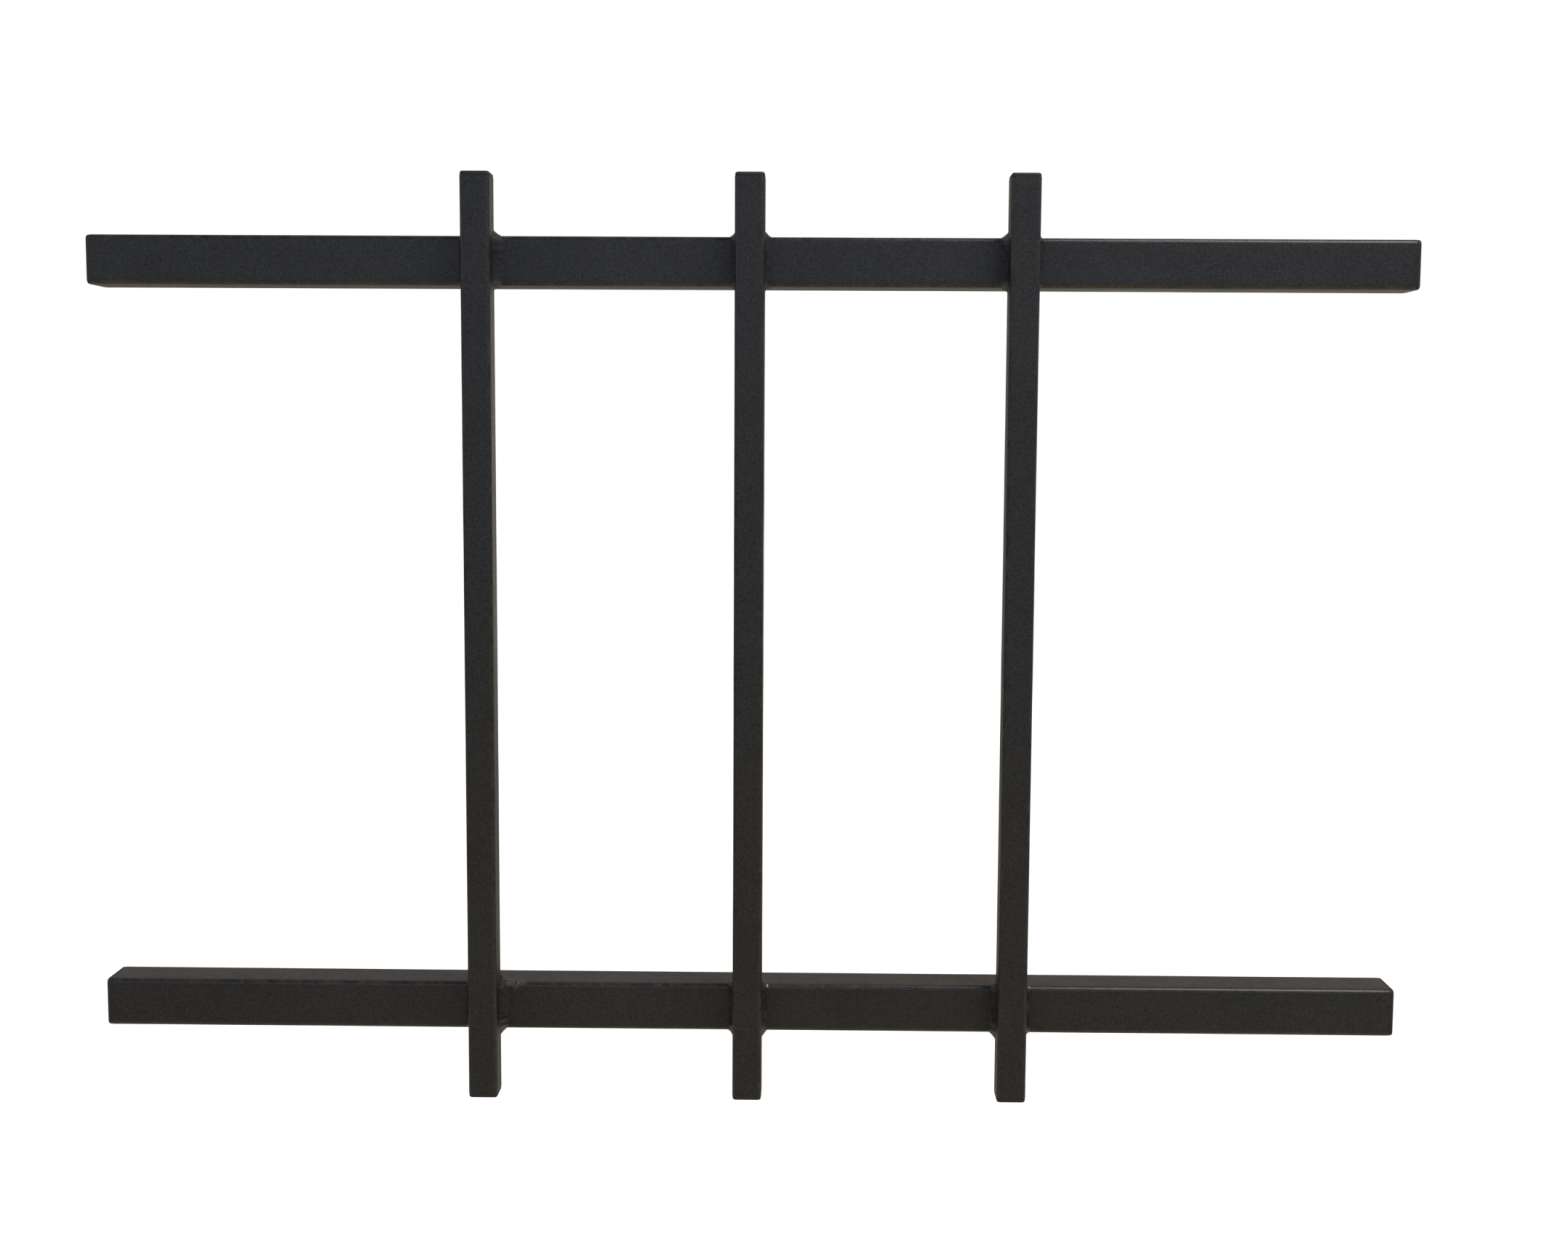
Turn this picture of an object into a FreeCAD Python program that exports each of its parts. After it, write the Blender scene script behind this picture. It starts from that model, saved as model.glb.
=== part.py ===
import FreeCAD, Part
import math
import os
import Sketcher
from FreeCAD import Placement, Rotation, Vector

# Window security bar: a fixed, welded steel grille.
# Two horizontal rails of square tube carry three upright bars of smaller square tube,
# which stand against the rails' front faces and are welded to them at every crossing.
# Plastic caps plug all ten tube ends.
#
# Frame: +X to the right along the rails, +Z up, and the front faces -Y.
# Origin: on the plane of the rails' back faces, midway between the two rails and
# midway along them. All sizes are in millimetres.

doc = FreeCAD.newDocument("window_security_bar")

# Driving dimensions: alias, value, what it is.
SIZES = [
    ("rail_size", 25.0, "outer width of the rails' square tube"),
    ("rail_wall", 2.0, "wall of the rails' tube"),
    ("rail_corner", 2.5, "outer corner radius of the rails' tube"),
    ("rail_length", 666.0, "cut length of each rail's tube"),
    ("rail_spacing", 383.0, "height from one rail's centre line to the other's"),
    ("bar_size", 15.0, "outer width of the bars' square tube"),
    ("bar_wall", 1.5, "wall of the bars' tube"),
    ("bar_corner", 2.0, "outer corner radius of the bars' tube"),
    ("bar_pitch", 136.0, "distance from one bar's centre line to the next"),
    ("bar_top_stub", 28.0, "length of bar tube that stands above the top rail"),
    ("bar_bottom_stub", 30.0, "length of bar tube that hangs below the bottom rail"),
    ("weld_leg", 4.0, "leg of each fillet weld, along the bar's side and the rail's face"),
    ("weld_crown", 0.6, "how far the weld's face bulges past a flat face"),
    ("weld_inset", 0.5, "how far each weld stops short of the flat of the rail's face"),
    ("weld_end_round", 1.2, "rounding of a weld's two ends"),
    ("cap_flange", 2.0, "thickness of a cap's visible flange"),
    ("cap_inset", 0.15, "how far a cap's edge lies inside the tube's outline"),
    ("cap_rim", 1.1, "rounding of the rim of a cap's outer face"),
    ("cap_plug", 10.0, "depth of a cap's plug inside the tube"),
    ("cap_plug_gap", 0.6, "clearance from a cap's plug to the tube's inner wall"),
    ("cap_plug_wall", 1.2, "wall of a cap's hollow plug"),
    ("cap_rib_gap", 0.05, "clearance from a cap's gripping ribs to the tube's inner wall"),
    ("cap_rib", 1.0, "thickness of each gripping rib along the plug"),
    ("cap_rib_pitch", 3.0, "distance from the flange to the first rib, and between the ribs"),
]

sheet = doc.addObject("Spreadsheet::Sheet", "Sizes")
for row, (alias, value, meaning) in enumerate(SIZES, start=1):
    sheet.set(f"A{row}", meaning)
    sheet.set(f"B{row}", str(value))
    sheet.setAlias(f"B{row}", alias)
doc.recompute()

RIB_COUNT = 2
ORIGIN_POINT = (-1, 1)
START, END, CENTRE = 1, 2, 3


def size(alias):
    """The sheet's value for an alias, in millimetres."""
    return float(getattr(sheet, alias))


# ---------------------------------------------------------------- sketch helpers

def new_body(label):
    """An empty body whose label becomes the sub-part's name."""
    body = doc.addObject("PartDesign::Body", label)
    body.Label = label
    return body


def sketch_on_xy(body, name, height="0 mm"):
    """A sketch on the body's own XY plane, raised by an expression."""
    plane = [item for item in body.Origin.OriginFeatures if item.Role == "XY_Plane"][0]
    sketch = body.newObject("Sketcher::SketchObject", name)
    sketch.AttachmentSupport = (plane, "")
    sketch.MapMode = "FlatFace"
    sketch.setExpression("AttachmentOffset.Base.z", height)
    return sketch


def rounded_square(sketch, name, width, corner):
    """Draw a square with rounded corners, centred on the sketch's origin.

    width and corner are expressions. The four corner arcs are tangent to the four
    sides, and the arcs' centres are (width - 2 * corner) apart both ways.
    """
    side = float(sketch.evalExpression(width))
    radius = float(sketch.evalExpression(corner))
    half = side / 2
    reach = half - radius
    z_axis = Vector(0, 0, 1)
    first = sketch.GeometryCount
    for turn in range(4):
        spin = Rotation(z_axis, 90 * turn)
        start = spin.multVec(Vector(-reach, -half, 0))
        end = spin.multVec(Vector(reach, -half, 0))
        sketch.addGeometry(Part.LineSegment(start, end))
    for turn in range(4):
        middle = Rotation(z_axis, 90 * turn).multVec(Vector(reach, -reach, 0))
        circle = Part.Circle(middle, z_axis, radius)
        begin = math.radians(90 * turn - 90)
        sketch.addGeometry(Part.ArcOfCircle(circle, begin, begin + math.pi / 2))
    sides = [first + turn for turn in range(4)]
    arcs = [first + 4 + turn for turn in range(4)]
    for turn in range(4):
        following = (turn + 1) % 4
        sketch.addConstraint(Sketcher.Constraint("Tangent", sides[turn], END, arcs[turn], START))
        sketch.addConstraint(Sketcher.Constraint("Tangent", arcs[turn], END, sides[following], START))
    sketch.addConstraint(Sketcher.Constraint("Horizontal", sides[0]))
    sketch.addConstraint(Sketcher.Constraint("Vertical", sides[1]))
    for arc in arcs[1:]:
        sketch.addConstraint(Sketcher.Constraint("Equal", arcs[0], arc))
    sketch.addConstraint(
        Sketcher.Constraint("Symmetric", arcs[0], CENTRE, arcs[2], CENTRE, *ORIGIN_POINT))
    named = [
        ("radius", Sketcher.Constraint("Radius", arcs[0], radius), corner),
        ("across", Sketcher.Constraint("DistanceX", arcs[3], CENTRE, arcs[0], CENTRE, 2 * reach),
         f"{width} - 2 * ({corner})"),
        ("up", Sketcher.Constraint("DistanceY", arcs[0], CENTRE, arcs[1], CENTRE, 2 * reach),
         f"{width} - 2 * ({corner})"),
    ]
    for suffix, constraint, expression in named:
        index = sketch.addConstraint(constraint)
        sketch.renameConstraint(index, f"{name}_{suffix}")
        sketch.setExpression(f"Constraints.{name}_{suffix}", expression)


def pad(body, sketch, name, length, side="One side", reverse=False):
    """Extrude a sketch by an expression's length."""
    feature = body.newObject("PartDesign::Pad", name)
    feature.Profile = sketch
    feature.setExpression("Length", length)
    feature.SideType = side
    feature.Reversed = reverse
    return feature


def place(body, rotation, x="0 mm", y="0 mm", z="0 mm"):
    """Turn a body, and tie its position to expressions."""
    body.Placement = Placement(Vector(0, 0, 0), rotation)
    for axis, expression in (("x", x), ("y", y), ("z", z)):
        body.setExpression(f"Placement.Base.{axis}", expression)


# ---------------------------------------------------------------- positions

# The rails lie between the wall plane and their own front face; the bars stand on it.
RAIL_Y = "-Sizes.rail_size / 2"
RAIL_FACE_Y = "-Sizes.rail_size"
BAR_Y = "-Sizes.rail_size - Sizes.bar_size / 2"
RAIL_Z = {"top": "Sizes.rail_spacing / 2", "bottom": "-Sizes.rail_spacing / 2"}
BAR_X = {"left": "-Sizes.bar_pitch", "middle": "0 mm", "right": "Sizes.bar_pitch"}
BAR_TOP_Z = "Sizes.rail_spacing / 2 + Sizes.rail_size / 2 + Sizes.bar_top_stub"
BAR_BOTTOM_Z = "-Sizes.rail_spacing / 2 - Sizes.rail_size / 2 - Sizes.bar_bottom_stub"

ALONG_X = Rotation(Vector(0, 1, 0), 90)
ALONG_MINUS_X = Rotation(Vector(0, 1, 0), -90)
UPRIGHT = Rotation()
UPSIDE_DOWN = Rotation(Vector(1, 0, 0), 180)
TURNED_ROUND = Rotation(Vector(0, 0, 1), 180)


# ---------------------------------------------------------------- tubes

def square_tube(label, section, length):
    """A length of square tube along the body's Z axis, centred on its origin.

    section is "rail" or "bar", the first word of the aliases of its size.
    """
    body = new_body(label)
    sketch = sketch_on_xy(body, f"{label}_section")
    outer = f"Sizes.{section}_size"
    wall = f"Sizes.{section}_wall"
    corner = f"Sizes.{section}_corner"
    rounded_square(sketch, "outer", outer, corner)
    rounded_square(sketch, "inner", f"{outer} - 2 * {wall}", f"{corner} - {wall}")
    pad(body, sketch, f"{label}_extrusion", length, side="Symmetric")
    return body


def rails():
    """The two horizontal tubes."""
    for level, height in RAIL_Z.items():
        rail = square_tube(f"{level}_rail", "rail", "Sizes.rail_length")
        place(rail, ALONG_X, y=RAIL_Y, z=height)


def bars():
    """The three upright tubes, on the rails' front faces."""
    for side, across in BAR_X.items():
        bar = square_tube(f"{side}_bar", "bar", f"{BAR_TOP_Z} - ({BAR_BOTTOM_Z})")
        place(bar, UPRIGHT, x=across, y=BAR_Y, z=f"({BAR_TOP_Z} + {BAR_BOTTOM_Z}) / 2")


# ---------------------------------------------------------------- end caps

def round_rim(body, base, name, face_height, radius):
    """Round the edges of a pad's outer face, which lies at face_height."""
    doc.recompute()
    edges = []
    for number, edge in enumerate(base.Shape.Edges, start=1):
        box = edge.BoundBox
        if abs(box.ZMin - face_height) < 1e-6 and abs(box.ZMax - face_height) < 1e-6:
            edges.append(f"Edge{number}")
    fillet = body.newObject("PartDesign::Fillet", name)
    fillet.Base = (base, edges)
    fillet.setExpression("Radius", radius)
    return fillet


def end_cap(label, section, rotation, x, y, z):
    """A plug cap: a flange that covers the tube's end, and a ribbed hollow plug in it.

    The body's Z axis points out of the tube, and the tube's cut end is at z = 0.
    """
    body = new_body(label)
    outer = f"Sizes.{section}_size"
    wall = f"Sizes.{section}_wall"
    corner = f"Sizes.{section}_corner"
    bore = f"{outer} - 2 * {wall}"
    bore_corner = f"{corner} - {wall}"

    flange_sketch = sketch_on_xy(body, f"{label}_flange_outline")
    rounded_square(flange_sketch, "edge", f"{outer} - 2 * Sizes.cap_inset",
                   f"{corner} - Sizes.cap_inset")
    flange = pad(body, flange_sketch, f"{label}_flange", "Sizes.cap_flange")
    round_rim(body, flange, f"{label}_rim", size("cap_flange"), "Sizes.cap_rim")

    hollow = f"{bore} - 2 * Sizes.cap_plug_gap - 2 * Sizes.cap_plug_wall"
    plug_sketch = sketch_on_xy(body, f"{label}_plug_outline")
    rounded_square(plug_sketch, "plug", f"{bore} - 2 * Sizes.cap_plug_gap", bore_corner)
    rounded_square(plug_sketch, "hollow", hollow, f"({bore_corner}) / 2")
    pad(body, plug_sketch, f"{label}_plug", "Sizes.cap_plug", reverse=True)

    for index in range(1, RIB_COUNT + 1):
        rib_sketch = sketch_on_xy(body, f"{label}_rib_{index}_outline",
                                  f"-{index} * Sizes.cap_rib_pitch")
        rounded_square(rib_sketch, "rib", f"{bore} - 2 * Sizes.cap_rib_gap", bore_corner)
        rounded_square(rib_sketch, "hollow", hollow, f"({bore_corner}) / 2")
        pad(body, rib_sketch, f"{label}_rib_{index}", "Sizes.cap_rib", reverse=True)
    place(body, rotation, x, y, z)


def end_caps():
    """Four caps on the rails' ends and six on the bars' ends."""
    for level, height in RAIL_Z.items():
        end_cap(f"{level}_rail_left_cap", "rail", ALONG_MINUS_X,
                "-Sizes.rail_length / 2", RAIL_Y, height)
        end_cap(f"{level}_rail_right_cap", "rail", ALONG_X,
                "Sizes.rail_length / 2", RAIL_Y, height)
    for side, across in BAR_X.items():
        end_cap(f"{side}_bar_top_cap", "bar", UPRIGHT, across, BAR_Y, BAR_TOP_Z)
        end_cap(f"{side}_bar_bottom_cap", "bar", UPSIDE_DOWN, across, BAR_Y, BAR_BOTTOM_Z)


# ---------------------------------------------------------------- welds

def join(sketch, pairs):
    """Make pairs of (curve, point, curve, point) ends coincide."""
    for pair in pairs:
        sketch.addConstraint(Sketcher.Constraint("Coincident", *pair))


def locate(sketch, name, direction, curve, point, expression):
    """Tie one coordinate of a point, measured from the sketch's origin."""
    value = float(sketch.evalExpression(expression))
    index = sketch.addConstraint(
        Sketcher.Constraint(direction, *ORIGIN_POINT, curve, point, value))
    sketch.renameConstraint(index, name)
    sketch.setExpression(f"Constraints.{name}", expression)


def weld_outline(sketch):
    """Draw the section of one fillet weld, in the plane across the bar.

    Local X runs along the rail's face, away from the bar's centre line, and local Y
    stands out from the rail's face. The section is bounded by the rail's face, the
    weld's bulging face, the bar's side and the bar's rounded corner. Its root stops
    half way round that corner, short of where the gap closes to nothing.
    """
    half = size("bar_size") / 2
    corner = size("bar_corner")
    leg = size("weld_leg")
    crown = size("weld_crown")
    eighth = math.radians(45)
    # A chord of leg * sqrt(2) with a bulge of crown has this radius.
    crown_radius = "(Sizes.weld_leg ^ 2 / 2 + Sizes.weld_crown ^ 2) / (2 * Sizes.weld_crown)"
    bulge = float(sketch.evalExpression(crown_radius))
    half_angle = math.asin(leg * math.sqrt(2) / 2 / bulge)
    setback = (bulge - crown) * math.cos(eighth)
    bulge_centre = Vector(half + leg / 2 - setback, leg / 2 - setback, 0)
    corner_centre = Vector(half - corner, corner, 0)
    root = Vector(half - corner + corner * math.sin(eighth), 0, 0)
    corner_end = Vector(root.x, corner - corner * math.cos(eighth), 0)
    bar_toe = Vector(half, leg, 0)
    rail_toe = Vector(half + leg, 0, 0)
    corner_top = Vector(half, corner, 0)
    z_axis = Vector(0, 0, 1)

    foot = sketch.addGeometry(Part.LineSegment(root, rail_toe))
    face = sketch.addGeometry(Part.ArcOfCircle(
        Part.Circle(bulge_centre, z_axis, bulge), eighth - half_angle, eighth + half_angle))
    wall = sketch.addGeometry(Part.LineSegment(bar_toe, corner_top))
    round_corner = sketch.addGeometry(Part.ArcOfCircle(
        Part.Circle(corner_centre, z_axis, corner), -eighth, 0))
    root_gap = sketch.addGeometry(Part.LineSegment(corner_end, root))

    join(sketch, [(foot, END, face, START), (face, END, wall, START),
                  (wall, END, round_corner, END), (round_corner, START, root_gap, START),
                  (root_gap, END, foot, START)])
    sketch.addConstraint(Sketcher.Constraint("PointOnObject", foot, START, -1))
    sketch.addConstraint(Sketcher.Constraint("Horizontal", foot))
    sketch.addConstraint(Sketcher.Constraint("Vertical", wall))
    sketch.addConstraint(Sketcher.Constraint("Vertical", root_gap))
    side = "Sizes.bar_size / 2"
    locate(sketch, "bar_side", "DistanceX", wall, END, side)
    locate(sketch, "rail_toe", "DistanceX", foot, END, f"{side} + Sizes.weld_leg")
    locate(sketch, "bar_toe", "DistanceY", wall, START, "Sizes.weld_leg")
    locate(sketch, "corner_x", "DistanceX", round_corner, CENTRE, f"{side} - Sizes.bar_corner")
    locate(sketch, "corner_y", "DistanceY", round_corner, CENTRE, "Sizes.bar_corner")
    locate(sketch, "corner_top", "DistanceY", wall, END, "Sizes.bar_corner")
    locate(sketch, "root", "DistanceX", foot, START,
           f"{side} - Sizes.bar_corner + Sizes.bar_corner * sin(45 deg)")
    index = sketch.addConstraint(Sketcher.Constraint("Radius", face, bulge))
    sketch.renameConstraint(index, "bulge")
    sketch.setExpression("Constraints.bulge", crown_radius)


def round_weld_ends(body, bead, name):
    """Round the two ends of a weld, along the edges of its bulging face."""
    doc.recompute()
    leg_length = size("weld_leg") * math.sqrt(2)
    end_height = bead.Shape.BoundBox.ZMax
    edges = []
    for number, edge in enumerate(bead.Shape.Edges, start=1):
        box = edge.BoundBox
        on_end = abs(box.ZMax - box.ZMin) < 1e-6 and abs(abs(box.ZMax) - end_height) < 1e-6
        if on_end and edge.Length > leg_length:
            edges.append(f"Edge{number}")
    fillet = body.newObject("PartDesign::Fillet", name)
    fillet.Base = (bead, edges)
    fillet.setExpression("Radius", "Sizes.weld_end_round")


def weld(label, rotation, x, z):
    """One fillet weld up a bar's side, as long as the flat of the rail's face allows."""
    body = new_body(label)
    sketch = sketch_on_xy(body, f"{label}_section")
    weld_outline(sketch)
    flat = "Sizes.rail_size - 2 * Sizes.rail_corner"
    bead = pad(body, sketch, f"{label}_bead", f"{flat} - 2 * Sizes.weld_inset",
               side="Symmetric")
    round_weld_ends(body, bead, f"{label}_ends")
    place(body, rotation, x=x, y=RAIL_FACE_Y, z=z)


def welds():
    """Two welds at each of the six crossings, one up each side of the bar."""
    for level, height in RAIL_Z.items():
        for side, across in BAR_X.items():
            weld(f"{side}_bar_{level}_weld_left", TURNED_ROUND, across, height)
            weld(f"{side}_bar_{level}_weld_right", UPSIDE_DOWN, across, height)


# ---------------------------------------------------------------- the whole grille

rails()
bars()
end_caps()
welds()
doc.recompute()

for item in doc.Objects:
    if "Invalid" in item.State or "Error" in item.State:
        raise RuntimeError(f"{item.Label} failed: {item.State}")

subparts = [item for item in doc.Objects if item.TypeId == "PartDesign::Body"]
for body in subparts:
    if body.Shape.isNull() or not body.Shape.isValid() or len(body.Shape.Solids) != 1:
        raise RuntimeError(f"{body.Label} isn't one valid solid")

os.makedirs("parts", exist_ok=True)
for body in subparts:
    body.Shape.exportStep(os.path.join("parts", f"{body.Label}.step"))
    box = body.Shape.BoundBox
    print(f"{body.Label}: {body.Shape.Volume:.1f} mm3, "
          f"x {box.XMin:.2f} to {box.XMax:.2f}, "
          f"y {box.YMin:.2f} to {box.YMax:.2f}, "
          f"z {box.ZMin:.2f} to {box.ZMax:.2f}")
print(f"{len(subparts)} sub-parts")
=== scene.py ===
# %% [markdown]
# # A welded window security grille
#
# The real thing is two long rails of square steel tube with three upright bars of smaller
# tube welded across their fronts, all powder-coated black, with plastic caps in the open
# ends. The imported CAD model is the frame: it fixes every size and place. What is added
# here is what a coater and a welder leave behind: soft coated edges, slightly uneven
# tube walls, rippled weld beads, a little spatter, and the fine grain of the powder.

# %% Load the frame
import math

import bpy
import numpy as np
from mathutils import Matrix, Vector


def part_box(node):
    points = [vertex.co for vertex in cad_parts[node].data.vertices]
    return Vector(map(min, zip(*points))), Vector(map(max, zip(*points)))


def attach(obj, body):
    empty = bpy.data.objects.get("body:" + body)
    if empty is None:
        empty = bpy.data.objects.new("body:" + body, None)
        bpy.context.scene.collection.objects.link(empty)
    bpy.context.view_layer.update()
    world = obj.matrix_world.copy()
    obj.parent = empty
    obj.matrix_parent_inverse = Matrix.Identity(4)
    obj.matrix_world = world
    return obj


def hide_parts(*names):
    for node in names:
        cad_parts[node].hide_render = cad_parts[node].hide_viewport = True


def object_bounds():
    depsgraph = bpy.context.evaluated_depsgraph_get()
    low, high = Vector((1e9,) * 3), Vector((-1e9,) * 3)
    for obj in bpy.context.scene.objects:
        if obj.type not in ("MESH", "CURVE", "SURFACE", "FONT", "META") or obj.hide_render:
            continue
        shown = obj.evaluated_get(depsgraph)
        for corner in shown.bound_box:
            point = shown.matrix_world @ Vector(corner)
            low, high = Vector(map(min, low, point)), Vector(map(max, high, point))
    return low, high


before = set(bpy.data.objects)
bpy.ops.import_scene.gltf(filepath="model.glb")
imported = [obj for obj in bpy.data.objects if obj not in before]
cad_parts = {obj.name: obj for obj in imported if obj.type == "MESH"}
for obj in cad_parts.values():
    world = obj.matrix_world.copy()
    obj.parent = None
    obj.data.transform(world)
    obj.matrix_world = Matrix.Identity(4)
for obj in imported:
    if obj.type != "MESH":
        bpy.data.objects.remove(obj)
cad_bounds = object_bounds()
MM = 0.001
print("nodes in the frame:", len(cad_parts))
print("CAD box:", [[round(value, 4) for value in corner] for corner in cad_bounds])

# %% [markdown]
# ## Reading sizes from the frame
#
# Sizes could be typed in again here, but then two files could disagree. Instead the
# tube sizes are read from the boxes of the CAD nodes: a rail's box gives its width and
# the plane of its front face, and a bar's box gives the bar's.

# %% Sizes that come from the frame
LEVELS = ("top", "bottom")
SIDES = ("left", "middle", "right")


def corners(node):
    """The lowest and highest corner of a CAD node, as two numpy arrays in metres."""
    low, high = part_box(node)
    return np.array(low), np.array(high)


rail_low, rail_high = corners("top_rail")
bar_low, bar_high = corners("middle_bar")
RAIL = rail_high[2] - rail_low[2]
BAR = bar_high[0] - bar_low[0]
RAIL_FACE_Y = rail_low[1]
print("rail", round(RAIL / MM, 2), "mm, bar", round(BAR / MM, 2), "mm")

# %% [markdown]
# The box of a tube doesn't say how round its edges are or how thick its wall is. Those
# few numbers are the maker's: cold-formed square tube has an outer corner radius of one
# and a quarter to two times its wall.

# %% Sizes that a box can't give
RAIL_CORNER = 2.5 * MM
RAIL_WALL = 2.0 * MM
BAR_CORNER = 2.0 * MM
BAR_WALL = 1.5 * MM
CUT_ROUND = 0.18 * MM
SHARPEST = 0.3 * MM
RANDOM = np.random.default_rng(20)
print("rail wall", RAIL_WALL / MM, "mm, bar wall", BAR_WALL / MM, "mm")

# %% [markdown]
# ## From a grid of points to a mesh
#
# Every new piece below is a surface: a grid of points, worked out as one numpy array.
# Rows run one way and columns the other. A grid can close on itself in either
# direction, like a sleeve or a ring, or its first and last rows can shrink to a pole,
# like the two ends of a sausage. Building the faces from index arithmetic keeps the
# piece one clean, closed sheet of four-sided faces.

# %% A mesh from a grid
def grid_mesh(name, points, ring=False, shades=None):
    """A closed mesh from a grid of points, shape (rows, columns, 3), in metres.

    Columns always wrap round. With ring, rows wrap round too. Otherwise the first and
    last row are poles: each is replaced by its own mean point and closed with a fan.
    shades is a dict of attribute name to an array of one number per grid point.
    """
    rows, columns = points.shape[:2]
    index = np.arange(rows * columns).reshape(rows, columns)
    below = index if ring else index[:-1]
    above = np.roll(index, -1, axis=0) if ring else index[1:]
    faces = np.stack([below, np.roll(below, -1, axis=1),
                      np.roll(above, -1, axis=1), above], axis=-1).reshape(-1, 4)
    flat = points.reshape(-1, 3)
    triangles = np.empty((0, 3), dtype=int)
    if not ring:
        poles = np.array([points[0].mean(axis=0), points[-1].mean(axis=0)])
        first, last = len(flat), len(flat) + 1
        flat = np.vstack([flat, poles])
        start, end = index[0], index[-1]
        triangles = np.vstack([
            np.stack([np.full(columns, first), np.roll(start, -1), start], axis=-1),
            np.stack([np.full(columns, last), end, np.roll(end, -1)], axis=-1)])
    mesh = bpy.data.meshes.new(name)
    mesh.from_pydata(flat.tolist(), [], faces.tolist() + triangles.tolist())
    for shade, values in (shades or {}).items():
        attribute = mesh.attributes.new(shade, "FLOAT", "POINT")
        numbers = np.zeros(len(flat), dtype=np.float32)
        numbers[:rows * columns] = values.reshape(-1)
        attribute.data.foreach_set("value", numbers)
    mesh.polygons.foreach_set("use_smooth", np.ones(len(mesh.polygons), dtype=bool))
    mesh.update()
    piece = bpy.data.objects.new(name, mesh)
    bpy.context.scene.collection.objects.link(piece)
    return piece


def signed_volume(piece):
    """The volume inside a piece, in cubic metres: positive if its faces point outwards."""
    mesh = piece.data
    mesh.calc_loop_triangles()
    count = len(mesh.loop_triangles)
    corner = np.empty(count * 3, dtype=np.int32)
    mesh.loop_triangles.foreach_get("vertices", corner)
    place = np.empty(len(mesh.vertices) * 3)
    mesh.vertices.foreach_get("co", place)
    a, b, c = place.reshape(-1, 3)[corner.reshape(-1, 3)].transpose(1, 0, 2)
    return float(np.einsum("ij,ij->i", a, np.cross(b, c)).sum() / 6)


# %% [markdown]
# ## A square with round corners
#
# Both the tubes and their caps are stacks of one shape: a square with round corners,
# whose half width, corner radius and height change from row to row. A tube's row goes
# up the outside, over the cut end and down the inside. A cap's row goes from the
# middle of its face, over the rim, under the flange and along the plug.

# %% The rounded square and the stack
def rounded_square(side_points=6, corner_points=10):
    """Directions round a square with round corners, as two arrays of shape (columns, 2).

    The first array is the centre of the corner that each point belongs to, for a
    square of half width 1, and the second is its direction from that centre. A point
    at half width h and corner radius r is centre * (h - r) + direction * r. Along a
    side the centre slides from one corner to the next while the direction holds.
    """
    quarter = np.linspace(0, math.pi / 2, corner_points)
    slide = np.linspace(0, 1, side_points + 2)[1:-1]
    centres, directions = [], []
    for turn in range(4):
        angle = turn * math.pi / 2
        here = np.array([math.cos(angle + math.pi / 4), math.sin(angle + math.pi / 4)])
        after = np.array([math.cos(angle + 3 * math.pi / 4), math.sin(angle + 3 * math.pi / 4)])
        here, after = here * math.sqrt(2), after * math.sqrt(2)
        centres.append(np.tile(here, (corner_points, 1)))
        directions.append(np.stack([np.cos(quarter + angle), np.sin(quarter + angle)], axis=-1))
        centres.append(here + (after - here) * slide[:, None])
        directions.append(np.tile(directions[-1][-1], (side_points, 1)))
    return np.vstack(centres), np.vstack(directions)


def stack(half, corner, height, side_points=6, corner_points=10):
    """Rounded squares piled along z: arrays of half width, corner radius and height.

    Returns the grid of points and, for each, how near it is to the middle of a corner:
    1 on the corner's middle line, 0 where the corner meets a side and along the sides.
    """
    centre, direction = rounded_square(side_points, corner_points)
    half, corner, height = (np.asarray(value)[:, None, None] for value in (half, corner, height))
    across = centre * (half - corner) + direction * corner
    points = np.concatenate([across, np.broadcast_to(height, across.shape[:2] + (1,))], axis=-1)
    swing = np.abs(direction[:, 0] * direction[:, 1]) * 2
    return points, np.broadcast_to(swing, across.shape[:2])


print("columns in a rounded square:", len(rounded_square()[0]))

# %% [markdown]
# ## The tubes
#
# A tube could be left as the CAD solid, and its shape is right. But the solid's faces
# are perfectly flat, and its round edges are a handful of flats, so a gloss would run
# along them like a ruler line. Real cold-formed tube sinks in here and there by a tenth
# of a millimetre, and the powder melts into a soft skin over it. So each tube is rebuilt
# as a stack of the same size, with a slow wander in its four sides.

# %% A length of tube
SINK = 0.14 * MM
SINK_WAVES = 9
RAIL_ROWS = 140
BAR_ROWS = 110


def wander(along, waves, size, random):
    """A smooth random line, one number between -size and size for each point along.

    along runs from 0 to 1. The line is a sum of sines with random phases and weights.
    waves is how many there are, and each has one and a half more waves than the last.
    """
    counts = 1.5 * np.arange(1, waves + 1)
    phases = random.uniform(0, 2 * math.pi, waves)
    weights = random.uniform(0.4, 1.0, waves) / np.sqrt(counts)
    total = np.sin(2 * math.pi * np.outer(along, counts) + phases) @ weights
    return size * total / weights.sum()


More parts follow.
